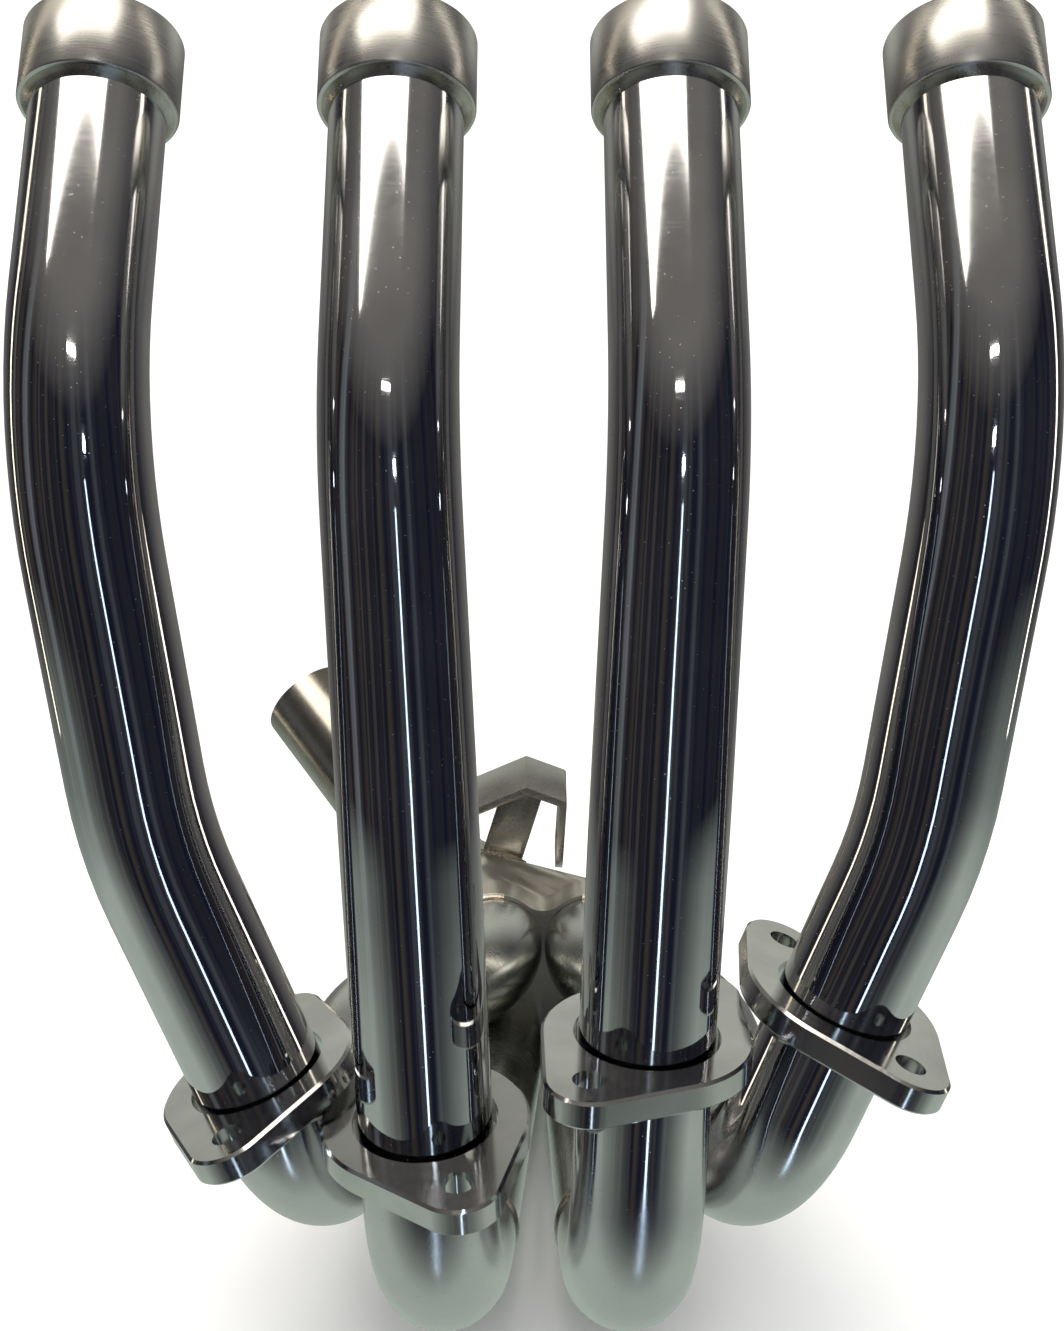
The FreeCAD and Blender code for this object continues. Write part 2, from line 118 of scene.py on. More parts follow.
# What every finish shares
TINT_SPAN = (0.35, 0.65)     # haze where the tint is fully dark and fully light
POLISH_SPAN = (0.75, 1.25)   # grain and haze together, from best to worst polish
SPECK_SPAN = (0.03, 0.09)    # share of a cell where a speck starts to fade and ends
SPECK_ROUGH = 0.4            # roughness that a speck adds

# The room as reflections show it: upright stripes of noise round the object
STRIPE_SCALE = 2.6
STRIPE_DETAIL = 1.6
STRIPE_ROUGHNESS = 0.6
STRIPES = ((0.30, "141A30"), (0.42, "453F38"), (0.50, "171B2C"), (0.58, "504B44"),
           (0.70, "77828E"))
# Tones over them: axis, where the tone starts and is full, its share and its colour
TONES = (("X", -0.2, 0.05, 0.62, "131A2E"), ("Y", 0.45, 0.9, 1.0, "777571"),
         ("Z", 0.45, 0.75, 1.0, "7C7975"))
# The pale wall up behind, and the pale ground below, which fades out towards the front:
# Y span, Z span and colour
PATCHES = (((0.6, 0.85), (0.12, 0.3), "CCCEC4"), ((-0.8, -0.1), (-0.22, -0.55), "B6C2B8"))


class Body(Enum):
    """Rigid bodies of the frame that pieces ride on."""

    MANIFOLD = "manifold"
    FLANGE = "flange_%d"


class Slot(Enum):
    """Material slots of the record."""

    TUBE = "polished_tube"
    COLLAR = "satin_collar"
    FLANGE = "flange_steel"
    COLLECTOR = "satin_collector"
    TAIL = "satin_tail"
    BRACKET = "bracket_steel"
    WELD = "weld"


def hex_linear(code: str) -> tuple[float, float, float, float]:
    """Turn an sRGB hex colour to linear values.

    Args:
        code: Six hex digits.

    Returns:
        Linear red, green, blue and an alpha of one.
    """
    parts = [int(code[i:i + 2], 16) / 255 for i in (0, 2, 4)]
    linear = [c / 12.92 if c <= 0.04045 else ((c + 0.055) / 1.055) ** 2.4 for c in parts]
    return (*linear, 1.0)


# ---------------------------------------------------------------- finishes
def add(tree: bpy.types.NodeTree, kind: str, inputs: dict | None = None,
        stops: tuple = (), **settings: object) -> bpy.types.Node:
    """Add one node with its settings and links.

    Args:
        tree: The node tree to add to.
        kind: Blender's name of the node type, such as "ShaderNodeTexNoise".
        inputs: Input name or number to the socket that feeds it, or to its value.
        stops: Pairs of position and colour, for a colour ramp.
        settings: The node's own properties.

    Returns:
        The new node.
    """
    node = tree.nodes.new(kind)
    for name, value in settings.items():
        setattr(node, name, value)
    for name, value in (inputs or {}).items():
        if isinstance(value, bpy.types.NodeSocket):
            tree.links.new(value, node.inputs[name])
        else:
            node.inputs[name].default_value = value
    for place, colour in stops[2:]:
        node.color_ramp.elements.new(place)
    for element, (place, colour) in zip(node.color_ramp.elements if stops else (), stops):
        element.position = place
        element.color = colour
    return node


def grey(value: float) -> tuple[float, float, float, float]:
    """A grey colour of one linear value."""
    return (value, value, value, 1.0)


@dataclass(frozen=True)
class MetalFinish:
    """A bare metal surface: colour, polish, grain direction and fine defects.

    The grain is noise squeezed along one axis, the haze is slow variation in polish, and
    the specks are dust and small scratches, which catch the light.  A satin zone is the height
    where it starts, the height where it is full, and the roughness that it adds.
    """

    name: str
    light: str
    dark: str
    rough_low: float
    rough_high: float
    grain_mm: float = 0.4
    grain_stretch: tuple[float, float, float] = (1.0, 1.0, 1.0)
    grain_depth_mm: float = 0.0
    haze_mm: float = 30.0
    speck_mm: float = 0.0
    wave_mm: float = 25.0
    wave_depth_mm: float = 0.0
    turn_deg: tuple[float, float, float] = (0.0, 0.0, 0.0)
    satin_zones: tuple[tuple[float, float, float], ...] = ()

    def build(self) -> bpy.types.Material:
        """Make the material.

        Returns:
            A node material for this finish.
        """
        material = bpy.data.materials.new(self.name)
        material.use_nodes = True
        tree = material.node_tree
        shader = tree.nodes["Principled BSDF"]
        shader.inputs["Metallic"].default_value = 1.0
        place = add(tree, "ShaderNodeTexCoord").outputs["Object"]
        haze = add(tree, "ShaderNodeTexNoise", {"Vector": place, "Detail": 4.0,
                                                "Scale": 1 / (self.haze_mm * MM)}).outputs[0]
        tint = add(tree, "ShaderNodeValToRGB", {0: haze},
                   stops=((TINT_SPAN[0], hex_linear(self.dark)),
                          (TINT_SPAN[1], hex_linear(self.light))))
        grain = self.grain(tree, place)
        rough = self.roughness(tree, place, grain, haze)
        bump = self.relief(tree, place, grain)
        tree.links.new(tint.outputs[0], shader.inputs["Base Color"])
        tree.links.new(rough, shader.inputs["Roughness"])
        tree.links.new(bump, shader.inputs["Normal"])
        return material

    def grain(self, tree: bpy.types.NodeTree, place: bpy.types.NodeSocket
              ) -> bpy.types.NodeSocket:
        """Fine scratches, long in the polishing direction.

        Args:
            tree: The material's tree.
            place: Object coordinates.

        Returns:
            Grain height from nought to one.
        """
        turn = tuple(math.radians(a) for a in self.turn_deg)
        turned = add(tree, "ShaderNodeMapping", {"Vector": place, "Rotation": turn})
        squeeze = add(tree, "ShaderNodeVectorMath",
                      {0: turned.outputs[0], 1: self.grain_stretch}, operation="MULTIPLY")
        return add(tree, "ShaderNodeTexNoise",
                   {"Vector": squeeze.outputs[0], "Scale": 1 / (self.grain_mm * MM),
                    "Detail": 3.0, "Roughness": 0.6}).outputs[0]

    def roughness(self, tree: bpy.types.NodeTree, place: bpy.types.NodeSocket,
                  grain: bpy.types.NodeSocket, haze: bpy.types.NodeSocket
                  ) -> bpy.types.NodeSocket:
        """Polish that varies with grain, haze, specks and the satin zones.

        Args:
            tree: The material's tree.
            place: Object coordinates.
            grain: Grain height.
            haze: Slow variation.

        Returns:
            Roughness.
        """
        mixed = add(tree, "ShaderNodeMath", {0: grain, 1: haze}, operation="ADD")
        rough = add(tree, "ShaderNodeMapRange",
                    {"Value": mixed.outputs[0], "From Min": POLISH_SPAN[0],
                     "From Max": POLISH_SPAN[1], "To Min": self.rough_low,
                     "To Max": self.rough_high}).outputs[0]
        height = add(tree, "ShaderNodeSeparateXYZ", {0: place}).outputs["Z"]
        for start, full, more in self.satin_zones:
            satin = add(tree, "ShaderNodeMapRange",
                        {"Value": height, "From Min": start * MM, "From Max": full * MM,
                         "To Max": more}, interpolation_type="SMOOTHSTEP")
            rough = add(tree, "ShaderNodeMath", {0: rough, 1: satin.outputs[0]},
                        operation="ADD").outputs[0]
        if self.speck_mm:
            cells = add(tree, "ShaderNodeTexVoronoi",
                        {"Vector": place, "Scale": 1 / (self.speck_mm * MM)})
            speck = add(tree, "ShaderNodeValToRGB", {0: cells.outputs["Distance"]},
                        stops=((SPECK_SPAN[0], grey(SPECK_ROUGH)), (SPECK_SPAN[1], grey(0.0))))
            rough = add(tree, "ShaderNodeMath", {0: rough, 1: speck.outputs[0]},
                        operation="ADD").outputs[0]
        return rough

    def relief(self, tree: bpy.types.NodeTree, place: bpy.types.NodeSocket,
               grain: bpy.types.NodeSocket) -> bpy.types.NodeSocket:
        """Bump from the grain over slow waves left by bending and buffing.

        Args:
            tree: The material's tree.
            place: Object coordinates.
            grain: Grain height.

        Returns:
            The bumped normal.
        """
        wave = add(tree, "ShaderNodeTexNoise", {"Vector": place, "Detail": 1.0,
                                                "Scale": 1 / (self.wave_mm * MM)})
        broad = add(tree, "ShaderNodeBump", {"Height": wave.outputs[0],
                                             "Distance": self.wave_depth_mm * MM})
        fine = add(tree, "ShaderNodeBump", {"Height": grain, "Normal": broad.outputs[0],
                                            "Distance": self.grain_depth_mm * MM})
        return fine.outputs[0]


# Mirror-polished stainless tube: the room shows in it as sharp stripes, with dust specks.
# Under the collar and round the tight bend the polishing belt left it a little satin.
DOWN_TUBE = MetalFinish("stainless_tube_mirror_polished", "D4D4D4", "C6C6C8", 0.025, 0.07,
                        grain_mm=0.5, grain_stretch=(0.1, 0.1, 1.0), grain_depth_mm=0.0004,
                        speck_mm=2.4, wave_mm=28.0, wave_depth_mm=0.04,
                        satin_zones=((-90.0, -50.0, 0.05), (-300.0, -325.0, 0.2)))
# The same tube where it runs back under the engine: satin, with the marks round it.
BACK_TUBE = MetalFinish("stainless_tube_satin_polished", "D2D3CF", "BEC0BC", 0.20, 0.30,
                        grain_mm=0.5, grain_stretch=(0.1, 1.0, 0.1), grain_depth_mm=0.0003,
                        speck_mm=2.4, wave_mm=28.0, wave_depth_mm=0.03)
# Stainless ring turned on a lathe: fine rings draw each lamp out into an upright band.
TURNED_RING = MetalFinish("stainless_ring_turned", "D2D1CE", "B4B2AE", 0.24, 0.34,
                          grain_mm=0.6, grain_stretch=(0.03, 0.03, 1.0),
                          grain_depth_mm=0.008, turn_deg=(28.9, 0.0, 0.0))
# Laser-cut stainless plate, linished and buffed: bright with slight waves.
BUFFED_PLATE = MetalFinish("stainless_plate_buffed", "D4D4D2", "BCBDBC", 0.08, 0.17,
                           grain_mm=1.2, grain_stretch=(1.0, 0.3, 1.0),
                           grain_depth_mm=0.002, wave_mm=14.0, wave_depth_mm=0.008)
# Pressed stainless sheet, satin finished: pale and even, with a broad soft sheen.
SATIN_SHEET = MetalFinish("stainless_sheet_satin", "E6E1D6", "CFC9BC", 0.26, 0.38,
                          grain_mm=0.6, grain_depth_mm=0.0008)
# Stainless tube finished with a belt: soft streaks along it.
BELTED_TUBE = MetalFinish("stainless_tube_belt_finished", "BDB9B0", "9C978C", 0.16, 0.28,
                          grain_mm=0.5, grain_stretch=(1.0, 0.2, 1.0), grain_depth_mm=0.001)
# Bent stainless strip with its mill finish.
MILL_STRIP = MetalFinish("stainless_strip_mill_finish", "C2C1BC", "A3A29C", 0.22, 0.34,
                         grain_mm=0.5, grain_stretch=(0.15, 1.0, 1.0), grain_depth_mm=0.0015)
# Fusion weld, brushed clean: dull silver with straw-coloured heat tint.
BRUSHED_WELD = MetalFinish("stainless_weld_bead_brushed", "C0BDB8", "A09788", 0.22, 0.38,
                           grain_mm=0.9, grain_depth_mm=0.03, haze_mm=8.0)


# ---------------------------------------------------------------- mesh helpers
def only(piece: bpy.types.Object) -> None:
    """Make one object the only selected and the active one.

    Args:
        piece: The object to select.
    """
    bpy.ops.object.select_all(action="DESELECT")
    piece.select_set(True)
    bpy.context.view_layer.objects.active = piece


def settle(piece: bpy.types.Object) -> None:
    """Bake an object's place, turn and scale into its mesh."""
    only(piece)
    bpy.ops.object.transform_apply(location=True, rotation=True, scale=True)


def apply_modifiers(piece: bpy.types.Object) -> None:
    """Apply all modifiers of a piece in order.

    Args:
        piece: The piece that carries them.
    """
    only(piece)
    for modifier in list(piece.modifiers):
        bpy.ops.object.modifier_apply(modifier=modifier.name)


def smooth(piece: bpy.types.Object) -> None:
    """Shade a piece smooth, but for its sharp edges."""
    only(piece)
    bpy.ops.object.shade_smooth_by_angle(angle=math.radians(SMOOTH_DEG))


def merged_copy(node: bpy.types.Object, name: str) -> bpy.types.Object:
    """Copy a CAD node, merge its loose triangles and drop its imported normals.

    Args:
        node: The CAD node.
        name: Name of the copy.

    Returns:
        The merged copy.
    """
    piece = node.copy()
    piece.data = node.data.copy()
    piece.name = piece.data.name = name
    bpy.context.collection.objects.link(piece)
    only(piece)
    bpy.ops.object.mode_set(mode="EDIT")
    bpy.ops.mesh.select_all(action="SELECT")
    bpy.ops.mesh.remove_doubles(threshold=MERGE_GAP * MM)
    bpy.ops.mesh.dissolve_limited(angle_limit=math.radians(FLAT_DEG))
    bpy.ops.mesh.tris_convert_to_quads(face_threshold=math.radians(PAIR_DEG),
                                       shape_threshold=math.radians(PAIR_SHAPE_DEG))
    bpy.ops.object.mode_set(mode="OBJECT")
    bpy.ops.mesh.customdata_custom_splitnormals_clear()
    return piece


def new_ring(centre: Vector, along: Vector, radius: float, name: str) -> bpy.types.Object:
    """Add an open circle, ready to be extruded in edit mode.

    Args:
        centre: Centre in metres.
        along: Direction square to the circle.
        radius: Radius in metres.
        name: Name of the new piece.

    Returns:
        The circle, in edit mode with all of it selected.
    """
    bpy.ops.object.select_all(action="DESELECT")
    turn = along.to_track_quat("Z", "X").to_euler()
    bpy.ops.mesh.primitive_circle_add(vertices=RING_SIDES, radius=radius, location=centre,
                                      rotation=turn)
    piece = bpy.context.object
    piece.name = piece.data.name = name
    settle(piece)
    bpy.ops.object.mode_set(mode="EDIT")
    bpy.ops.mesh.select_all(action="SELECT")
    return piece


def outward(piece: bpy.types.Object) -> None:
    """Merge doubles and turn all faces outwards.

    Args:
        piece: The piece to clean.
    """
    only(piece)
    bpy.ops.object.mode_set(mode="EDIT")
    bpy.ops.mesh.select_all(action="SELECT")
    bpy.ops.mesh.remove_doubles(threshold=SEAM_GAP * MM)
    bpy.ops.mesh.normals_make_consistent(inside=False)
    bpy.ops.object.mode_set(mode="OBJECT")


@dataclass
class Tube:
    """A bent tube: straight runs joined by round bends."""

    name: str
    points: list[Vector]
    radii: list[float]
    outside: float
    wall: float
    bend_step: float = 3.0

    def build(self) -> bpy.types.Object:
        """Model the tube by extruding and spinning a circle, then give it its wall.

        Returns:
            The finished tube.
        """
        here = self.points[0]
        piece = new_ring(here * MM, self.points[1] - here, self.outside / 2 * MM, self.name)
        for before, corner, after, radius in zip(self.points, self.points[1:],
                                                 self.points[2:], self.radii):
            back, ahead = (before - corner).normalized(), (after - corner).normalized()
            turn = math.pi - back.angle(ahead)
            setback = radius * math.tan(turn / 2)
            start = corner + back * setback
            self.extrude((start - here) * MM)
            hub = corner + (back + ahead).normalized() * math.hypot(radius, setback)
            steps = max(MIN_BEND_STEPS, math.ceil(math.degrees(turn) / self.bend_step))
            bpy.ops.mesh.spin(steps=steps, dupli=False, angle=-turn, center=hub * MM,
                              axis=(-back).cross(ahead).normalized())
            here = corner + ahead * setback
        self.extrude((self.points[-1] - here) * MM)
        bpy.ops.object.mode_set(mode="OBJECT")
        outward(piece)
        wall = piece.modifiers.new("wall", "SOLIDIFY")
        wall.thickness = self.wall * MM
        wall.offset = -1.0
        wall.use_rim = True
        apply_modifiers(piece)
        smooth(piece)
        return piece

    @staticmethod
    def extrude(step: Vector) -> None:
        """Extrude the selected ring by a step in metres."""
        bpy.ops.mesh.extrude_region_move(TRANSFORM_OT_translate={"value": tuple(step)})


@dataclass
class TurnedRing:
    """A ring turned on a lathe: a closed profile of (radius, height) about an axis."""

    name: str
    place: Vector
    along: Vector
    profile: list[tuple[float, float]]

    def build(self) -> bpy.types.Object:
        """Model the ring by extruding and resizing a circle round the profile.

        Returns:
            The finished ring.
        """
        radius, height = self.profile[0]
        up = Vector((0, 0, 1))
        piece = new_ring(up * height * MM, up, radius * MM, self.name)
        for r, h in self.profile[1:] + self.profile[:1]:
            rise = tuple(up * (h - height) * MM)
            bpy.ops.mesh.extrude_region_move(TRANSFORM_OT_translate={"value": rise})
            scale = r / radius
            bpy.ops.transform.resize(value=(scale, scale, 1.0), center_override=(0, 0, h * MM))
            radius, height = r, h
        bpy.ops.object.mode_set(mode="OBJECT")
        outward(piece)
        piece.rotation_euler = self.along.to_track_quat("Z", "X").to_euler()
        piece.location = self.place * MM
        settle(piece)
        smooth(piece)
        return piece


# ---------------------------------------------------------------- shared layout
@dataclass(frozen=True)
class PipeLine:
    """Corner points of one pipe's centre line, in millimetres."""

    number: int
    port: tuple[float, float, float]
    knee: tuple[float, float, float]
    shin: tuple[float, float, float]
    foot: tuple[float, float, float]
    turn: tuple[float, float, float]
    lead: tuple[float, float, float]
    end: tuple[float, float, float]

    @property
    def seam(self) -> tuple[Vector, Vector]:
        """Place and direction of the butt weld behind the turn-back bend.

        Returns:
            The weld's middle in millimetres, and the way the tube runs there.
        """
        shin, foot, turn = Vector(self.shin), Vector(self.foot), Vector(self.turn)
        run = (turn - foot).normalized()
        half = (foot - shin).angle(turn - foot) / 2
        return foot + run * (TURN_RADIUS * math.tan(half) + STUB), run

    @property
    def mouth(self) -> Vector:
        """Direction out of the collar, towards the cylinder head."""
        return (Vector(self.port) - Vector(self.knee)).normalized()


def pipe_line(number: int) -> PipeLine:
    """Lay out one pipe; 1 and 4 are the outer pair, 2 and 3 the inner pair.

    Args:
        number: Pipe number from -X to +X.

    Returns:
        Its centre line.
    """
    s = -1 if number < 3 else 1
    x = MOUTH_X + s * HALF_PITCH
    if number in (1, 4):
        return PipeLine(number, port=(s * 122.5, 0, 0), knee=(s * 123.5, -58, -105),
                        shin=(s * 108, -58.5, -219), foot=(s * 60, -45, -349),
                        turn=(s * 62, 60, OUTER_ROW), lead=(x, LEAD_BACK, OUTER_ROW),
                        end=(x, END_BACK, OUTER_ROW))
    return PipeLine(number, port=(s * 38.5, 0, 0), knee=(s * 39.1, -58, -105),
                    shin=(s * 33.8, -75, -206), foot=(s * 28, -70.5, -360.5),
                    turn=(3 + s * 20.5, 80, INNER_ROW), lead=(x, LEAD_BACK, INNER_ROW),
                    end=(x, END_BACK, INNER_ROW))


def dress(piece: bpy.types.Object, finish: bpy.types.Material, slot: Slot, body: str,
          *nodes: str) -> bpy.types.Object:
    """Give a piece its finish and body, and hide the CAD nodes that it stands for.

    Args:
        piece: The finished piece.
        finish: Its material.
        slot: The record's material slot; not used.
        body: The frame body it rides on.
        nodes: CAD nodes that it replaces.

    Returns:
        The same piece.
    """
    piece.data.materials.clear()
    piece.data.materials.append(finish)
    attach(piece, body)
    if nodes:
        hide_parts(*nodes)
    LOG.info("%s: %d faces on %s", piece.name, len(piece.data.polygons), body)
    return piece


@dataclass
class Finishes:
    """All materials, each made once."""

    down_tube: bpy.types.Material = field(default_factory=DOWN_TUBE.build)
    back_tube: bpy.types.Material = field(default_factory=BACK_TUBE.build)
    ring: bpy.types.Material = field(default_factory=TURNED_RING.build)
    plate: bpy.types.Material = field(default_factory=BUFFED_PLATE.build)
    sheet: bpy.types.Material = field(default_factory=SATIN_SHEET.build)
    tail: bpy.types.Material = field(default_factory=BELTED_TUBE.build)
    strip: bpy.types.Material = field(default_factory=MILL_STRIP.build)
    bead: bpy.types.Material = field(default_factory=BRUSHED_WELD.build)


# ---------------------------------------------------------------- sub-assemblies
@dataclass
class Downpipe:
    """One downpipe with its head collar and collar weld."""

    line: PipeLine
    finishes: Finishes
    outside: float = TUBE_OUTSIDE
    wall: float = TUBE_WALL
    collar_outside: float = 45.0
    collar_length: float = 23.0
    collar_stop: float = 5.0
    chamfer: float = 0.8
    ease_share: float = 0.3
    socket_gap: float = 0.1
    weld_leg: float = 2.2

    def build(self) -> None:
        """Model the tube, the collar and the bead between them."""
        n = self.line.number
        port = Vector(self.line.port)
        points = [port - self.line.mouth * self.collar_stop, Vector(self.line.knee),
                  Vector(self.line.shin), Vector(self.line.foot), self.line.seam[0]]
        tube = Tube(f"polished_downpipe_{n}", points,
                    [SWEEP_RADIUS, SWEEP_RADIUS, TURN_RADIUS], self.outside, self.wall).build()
        dress(tube, self.finishes.down_tube, Slot.TUBE, Body.MANIFOLD.value, f"downpipe_{n}")
        ring = TurnedRing(f"turned_collar_{n}", port, self.line.mouth, self.profile()).build()
        dress(ring, self.finishes.ring, Slot.COLLAR, Body.MANIFOLD.value, f"head_collar_{n}")
        bead = TurnedRing(f"collar_bead_{n}", port, self.line.mouth, self.bead()).build()
        dress(bead, self.finishes.bead, Slot.WELD, Body.MANIFOLD.value, f"collar_weld_{n}")

    def profile(self) -> list[tuple[float, float]]:
        """Section of the collar, with eased outer corners.

        Returns:
            Pairs of radius and height in millimetres, in order round the section.
        """
        r, bore = self.collar_outside / 2, self.outside / 2 - self.wall
        socket, c, low = self.outside / 2 + self.socket_gap, self.chamfer, -self.collar_length
        e = c * self.ease_share
        return [(bore, -c), (bore + c, 0), (r - c, 0), (r - e, -e), (r, -c), (r, low + c),
                (r - e, low + e), (r - c, low), (socket, low), (socket, -self.collar_stop),
                (bore, -self.collar_stop)]

    def bead(self) -> list[tuple[float, float]]:
        """Section of the weld bead, hollow like a fillet.

        Returns:
            Pairs of radius and height in millimetres, in order round the section.
        """
        r, low, leg = self.outside / 2, -self.collar_length, self.weld_leg
        return [(r, low), (r + leg, low), (r + leg * 0.55, low - leg * 0.35),
                (r + leg * 0.3, low - leg * 0.6), (r, low - leg)]


@dataclass
class ReturnLeg:
    """One return leg with its butt weld."""

    line: PipeLine
    finishes: Finishes
    outside: float = TUBE_OUTSIDE
    wall: float = TUBE_WALL
    raise_: float = 0.9
    half: float = 2.0

    def build(self) -> None:
        """Model the leg and the bead at its front end."""
        n = self.line.number
        place, run = self.line.seam
        points = [place, Vector(self.line.turn), Vector(self.line.lead), Vector(self.line.end)]
        leg = Tube(f"polished_return_leg_{n}", points, [LEG_RADIUS, LEG_RADIUS],
                   self.outside, self.wall).build()
        dress(leg, self.finishes.back_tube, Slot.TUBE, Body.MANIFOLD.value, f"return_leg_{n}")
        bead = TurnedRing(f"leg_bead_{n}", place, run, self.profile()).build()
        dress(bead, self.finishes.bead, Slot.WELD, Body.MANIFOLD.value, f"leg_weld_{n}")

    def profile(self) -> list[tuple[float, float]]:
        """Section of the butt weld: a low crown.

        Returns:
            Pairs of radius and height in millimetres, in order round the section.
        """
        r, up, h = self.outside / 2, self.raise_, self.half
        return [(r, -h), (r + up * 0.7, -h * 0.6), (r + up, 0), (r + up * 0.7, h * 0.6), (r, h)]


@dataclass
class CadPiece:
    """A merged, edge-eased copy of one CAD node."""

    node: str
    name: str
    slot: Slot
    material: bpy.types.Material
    body: str = Body.MANIFOLD.value
    ease: float = 0.0
    ease_from_deg: float = 35.0
    ease_steps: int = 2

    def build(self, frame: dict) -> bpy.types.Object:
        """Copy the node, ease its edges and dress it.

        Args:
            frame: The loaded frame.

        Returns:
            The dressed piece.
        """
        piece = merged_copy(frame["nodes"][self.node], self.name)
        if self.ease:
            bevel = piece.modifiers.new("eased edges", "BEVEL")
            bevel.width = self.ease * MM
            bevel.segments = self.ease_steps
            bevel.limit_method = "ANGLE"
            bevel.angle_limit = math.radians(self.ease_from_deg)
            apply_modifiers(piece)
        smooth(piece)
        return dress(piece, self.material, self.slot, self.body, self.node)


@dataclass
class PortFlanges:
    """The four loose two-bolt flanges."""

    finishes: Finishes

    def build(self, frame: dict) -> None:
        """Dress all four flanges on their own bodies.

        Args:
            frame: The loaded frame.
        """
        for n in range(1, 5):
            CadPiece(f"port_flange_{n}", f"buffed_flange_{n}", Slot.FLANGE,
                     self.finishes.plate, Body.FLANGE.value % n).build(frame)


@dataclass
class Collector:
    """Shell, infill plate, flow spike and the welds round the legs."""

    finishes: Finishes

    def build(self, frame: dict) -> None:
        """Dress the collector pieces.

        Args:
            frame: The loaded frame.
        """
        for node, name in (("collector_shell", "pressed_shell"),
                           ("infill_plate", "infill"), ("merge_spike", "spike")):
            CadPiece(node, name, Slot.COLLECTOR, self.finishes.sheet).build(frame)
        for n in range(1, 5):
            CadPiece(f"mouth_weld_{n}", f"mouth_bead_{n}", Slot.WELD,
                     self.finishes.bead).build(frame)


@dataclass
class Outlet:
    """Tail pipe and the weld that holds it in the collector."""

    finishes: Finishes
    start: tuple[float, float, float] = (-30.0, 203.0, -331.0)
    end: tuple[float, float, float] = (-107.4, 289.0, -261.0)
    yaw_deg: float = 30.0
    rise_deg: float = 16.0
    lead: float = 30.0
    bend: float = 68.0
    outside: float = 45.0
    wall: float = 1.5
    socket: float = 12.0
    weld_leg: float = 1.6

    def build(self) -> None:
        """Model the tail pipe and its bead."""
        yaw, rise = math.radians(self.yaw_deg), math.radians(self.rise_deg)
        out = Vector((-math.sin(yaw) * math.cos(rise), math.cos(yaw) * math.cos(rise),
                      math.sin(rise)))
        start = Vector(self.start)
        tube = Tube("tail_tube", [start, start + out * self.lead, Vector(self.end)],
                    [self.bend], self.outside, self.wall).build()
        dress(tube, self.finishes.tail, Slot.TAIL, Body.MANIFOLD.value, "tail_pipe")
        r, leg = self.outside / 2, self.weld_leg
        section = [(r, 0), (r + leg, 0), (r + leg * 0.8, leg * 0.45), (r + leg * 0.4, leg * 0.8),
                   (r, leg)]
        bead = TurnedRing("outlet_bead", start + out * self.socket, out, section).build()
        dress(bead, self.finishes.bead, Slot.WELD, Body.MANIFOLD.value, "outlet_weld")


@dataclass
class Bracket:
    """Strap and brace that carry the collector."""

    finishes: Finishes
    ease: float = 0.5

    def build(self, frame: dict) -> None:
        """Dress the strap, the brace and their welds.

        Args:
            frame: The loaded frame.
        """
        for node, name in (("bracket_strap", "strap"), ("bracket_brace", "brace")):
            CadPiece(node, name, Slot.BRACKET, self.finishes.strip,
                     ease=self.ease).build(frame)
        for node, name in (("brace_weld", "brace_bead"), ("strap_weld", "strap_bead")):
            CadPiece(node, name, Slot.WELD, self.finishes.bead).build(frame)


# ---------------------------------------------------------------- studio
@dataclass(frozen=True)
class Lamp:
    """A rectangular soft lamp aimed at a point; lengths in metres."""

    name: str
    place: tuple[float, float, float]
    aim: tuple[float, float, float]
    width: float
    height: float
    radiance: float
    colour: str

    def build(self) -> None:
        """Add the lamp, unseen by the camera itself."""
        data = bpy.data.lights.new(self.name, "AREA")
        data.shape = "RECTANGLE"
        data.size, data.size_y = self.width, self.height
        data.energy = self.radiance * self.width * self.height * math.pi
        data.color = hex_linear(self.colour)[:3]
        lamp = bpy.data.objects.new(self.name, data)
        lamp.location = self.place
        aim = Vector(self.aim) - Vector(self.place)
        lamp.rotation_euler = aim.to_track_quat("-Z", "Y").to_euler()
        lamp.visible_camera = False
        bpy.context.collection.objects.link(lamp)


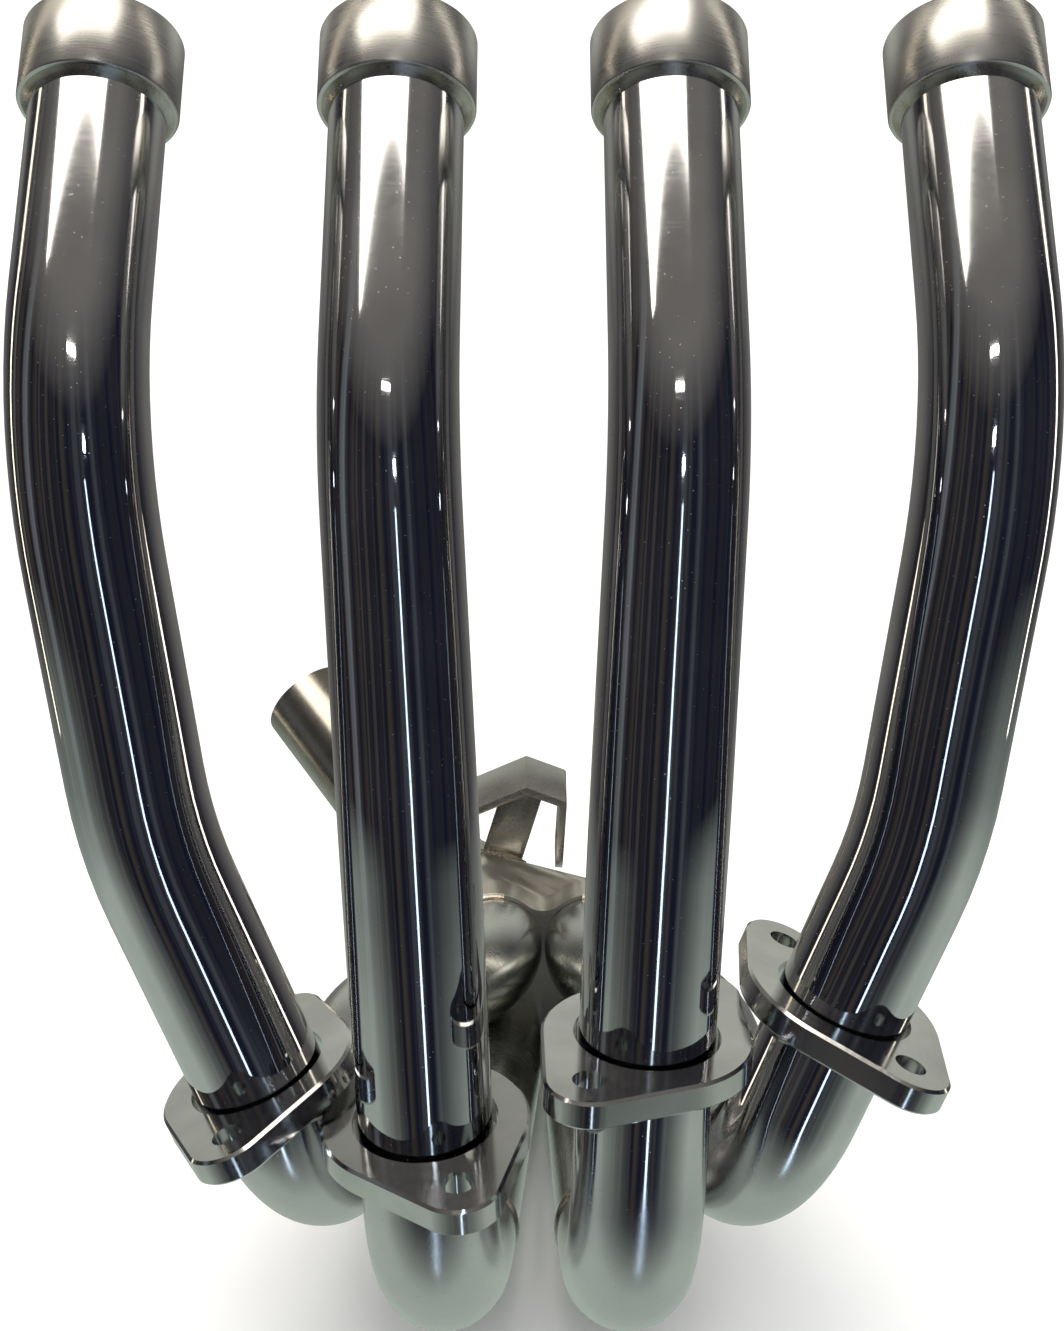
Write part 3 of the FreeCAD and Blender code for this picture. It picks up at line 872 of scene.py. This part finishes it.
@dataclass(frozen=True)
class Studio:
    """Floor, room, lamps and camera; lengths in metres.

    The eye and soft light meet plain white, and reflections meet a dim striped room.
    """

    floor_gap: float = 0.0008
    floor_size: float = 12.0
    floor_dark: str = "F4F4F3"
    floor_light: str = "F8F8F8"
    white: float = 1.25
    lens: float = 45.98
    sensor: float = 36.0
    camera_place: tuple[float, float, float] = (-0.0005, -0.5122, -0.0734)
    camera_tilt_deg: float = 78.0
    lamps: tuple[Lamp, ...] = (
        Lamp("ceiling_panel", (-0.45, -0.42, 1.5), (-0.45, -0.42, 0), 2.0, 0.84, 3.4, "FFF8EC"),
        Lamp("small_ceiling_lamp", (-0.03, -0.95, 0.64), (0, 0, -0.1), 0.26, 0.035, 12.0,
             "FFFDF4"),
        Lamp("camera_lamp", (0.075, -0.56, 0.095), (0, 0, -0.15), 0.03, 0.03, 40.0, "EAF2FF"),
        Lamp("slot_lamp", (0.075, -0.57, -0.45), (0, 0, -0.25), 0.026, 1.1, 3.2, "C6DDF4"),
        Lamp("left_window", (-1.2, 0.42, 0.35), (0, 0, -0.05), 0.08, 2.2, 3.0, "FFF0D4"),
        Lamp("right_window", (1.2, 0.42, 0.35), (0, 0, -0.05), 0.10, 2.2, 3.2, "FFF6E4"),
    )

    def build(self, low: Vector) -> None:
        """Set the stage under the object.

        Args:
            low: Lowest corner of the object.
        """
        self.floor(low.z - self.floor_gap)
        self.room()
        for lamp in self.lamps:
            lamp.build()
        self.camera()
        bpy.context.scene.view_settings.view_transform = "Standard"

    def floor(self, height: float) -> None:
        """Add a plain pale floor that reflections leave out.

        Args:
            height: Height of the floor in metres.
        """
        bpy.ops.object.select_all(action="DESELECT")
        bpy.ops.mesh.primitive_plane_add(size=self.floor_size, location=(0, 0, height))
        floor = bpy.context.object
        floor.name = "floor"
        settle(floor)
        floor.visible_glossy = False
        material = bpy.data.materials.new("painted_floor_matte_white")
        material.use_nodes = True
        tree = material.node_tree
        place = add(tree, "ShaderNodeTexCoord").outputs["Object"]
        cloud = add(tree, "ShaderNodeTexNoise", {"Vector": place, "Scale": 3.0})
        tint = add(tree, "ShaderNodeValToRGB", {0: cloud.outputs[0]},
                   stops=((0.3, hex_linear(self.floor_dark)),
                          (0.7, hex_linear(self.floor_light))))
        shader = tree.nodes["Principled BSDF"]
        shader.inputs["Roughness"].default_value = 0.9
        shader.inputs["Specular IOR Level"].default_value = 0.1
        tree.links.new(tint.outputs[0], shader.inputs["Base Color"])
        floor.data.materials.append(material)
        floor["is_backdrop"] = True

    @staticmethod
    def both(tree: bpy.types.NodeTree, axis: bpy.types.Node, back: tuple[float, float],
             up: tuple[float, float]) -> bpy.types.NodeSocket:
        """Share of a colour that depends on the direction's Y and its Z together.

        Args:
            tree: The room's tree.
            axis: Node that gives the direction's parts.
            back: Y where the share starts and where it is full.
            up: Z where the share starts and where it is full.

        Returns:
            The product of the two shares.
        """
        shares = [add(tree, "ShaderNodeMapRange", {"Value": axis.outputs[name],
                                                   "From Min": span[0], "From Max": span[1]})
                  for name, span in (("Y", back), ("Z", up))]
        return add(tree, "ShaderNodeMath", {0: shares[0].outputs[0], 1: shares[1].outputs[0]},
                   operation="MULTIPLY").outputs[0]

    def room(self) -> None:
        """Make the surroundings: white to the eye, a dim room in reflections."""
        world = bpy.data.worlds.new("room")
        bpy.context.scene.world = world
        world.use_nodes = True
        tree = world.node_tree
        tree.nodes.clear()
        way = add(tree, "ShaderNodeTexCoord").outputs["Generated"]
        axis = add(tree, "ShaderNodeSeparateXYZ", {0: way})
        front = add(tree, "ShaderNodeMath", {0: axis.outputs["Y"], 1: -1.0},
                    operation="MULTIPLY")
        turn = add(tree, "ShaderNodeMath", {0: axis.outputs["X"], 1: front.outputs[0]},
                   operation="ARCTAN2")
        stripes = add(tree, "ShaderNodeTexNoise", {"W": turn.outputs[0], "Scale": STRIPE_SCALE,
                                                   "Detail": STRIPE_DETAIL,
                                                   "Roughness": STRIPE_ROUGHNESS},
                      noise_dimensions="1D")
        colour = add(tree, "ShaderNodeValToRGB", {0: stripes.outputs[0]},
                     stops=tuple((spot, hex_linear(code)) for spot, code in STRIPES)
                     ).outputs[0]
        for name, start, full, most, shade in TONES:
            share = add(tree, "ShaderNodeMapRange",
                        {"Value": axis.outputs[name], "From Min": start, "From Max": full,
                         "To Max": most})
            colour = add(tree, "ShaderNodeMix", {0: share.outputs[0], 6: colour,
                                                 7: hex_linear(shade)},
                         data_type="RGBA").outputs[2]
        for back, up, shade in PATCHES:
            share = self.both(tree, axis, back, up)
            colour = add(tree, "ShaderNodeMix", {0: share, 6: colour, 7: hex_linear(shade)},
                         data_type="RGBA").outputs[2]
        ray = add(tree, "ShaderNodeLightPath")
        seen = add(tree, "ShaderNodeMix", {0: ray.outputs["Is Glossy Ray"], 6: grey(self.white),
                                           7: colour}, data_type="RGBA")
        light = add(tree, "ShaderNodeBackground", {"Color": seen.outputs[2]})
        add(tree, "ShaderNodeOutputWorld", {"Surface": light.outputs[0]})

    def camera(self) -> None:
        """Place the camera in front, looking a little down."""
        data = bpy.data.cameras.new("camera")
        data.lens = self.lens
        data.sensor_width = self.sensor
        data.sensor_fit = "AUTO"
        camera = bpy.data.objects.new("camera", data)
        camera.location = self.camera_place
        camera.rotation_euler = (math.radians(self.camera_tilt_deg), 0, 0)
        bpy.context.collection.objects.link(camera)
        bpy.context.scene.camera = camera


def main(frame: dict, cad_box: object) -> None:
    """Build every sub-assembly, then the studio.

    Args:
        frame: The loaded frame.
        cad_box: Bounds of the CAD model.
    """
    logging.basicConfig(level=logging.INFO, format="%(message)s")
    finishes = Finishes()
    for number in range(1, 5):
        line = pipe_line(number)
        Downpipe(line, finishes).build()
        ReturnLeg(line, finishes).build()
    PortFlanges(finishes).build(frame)
    Collector(finishes).build(frame)
    Outlet(finishes).build()
    Bracket(finishes).build(frame)
    Studio().build(Vector(cad_box[0]))


if __name__ == "__main__":
    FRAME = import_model()
    main(FRAME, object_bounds())
